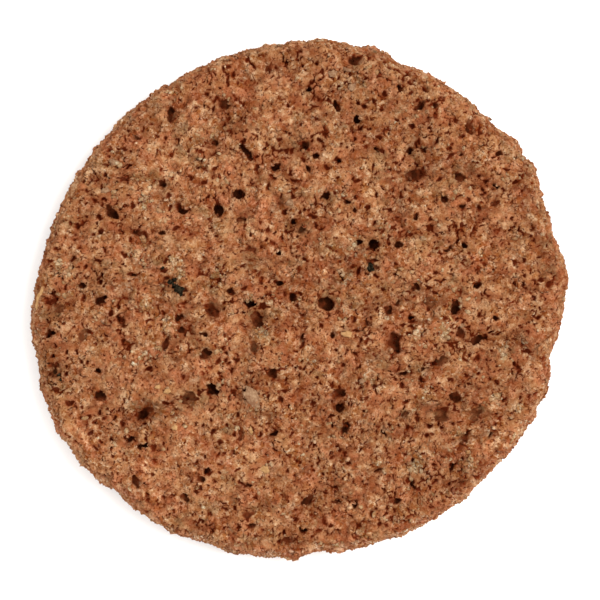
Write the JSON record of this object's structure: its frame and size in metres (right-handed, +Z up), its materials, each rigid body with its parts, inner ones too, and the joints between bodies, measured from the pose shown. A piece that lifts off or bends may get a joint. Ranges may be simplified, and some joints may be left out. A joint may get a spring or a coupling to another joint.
{
  "type": "oat honey biscuit",
  "caption": "Round baked oat and honey biscuit with a low crown, an uneven crumbly rim and open pits in both faces.",
  "frame": {"origin": "middle of the biscuit's box, on the underside that it rests on", "axes": "+Z up through the thickness, out of the upper face; +X along the longest way across"},
  "size_m": [0.067, 0.0652, 0.0085],
  "materials": {
    "oat_crumb": "matte"
  },
  "bodies": {
    "root": {"biscuit": "oat_crumb"}
  },
  "joints": []
}
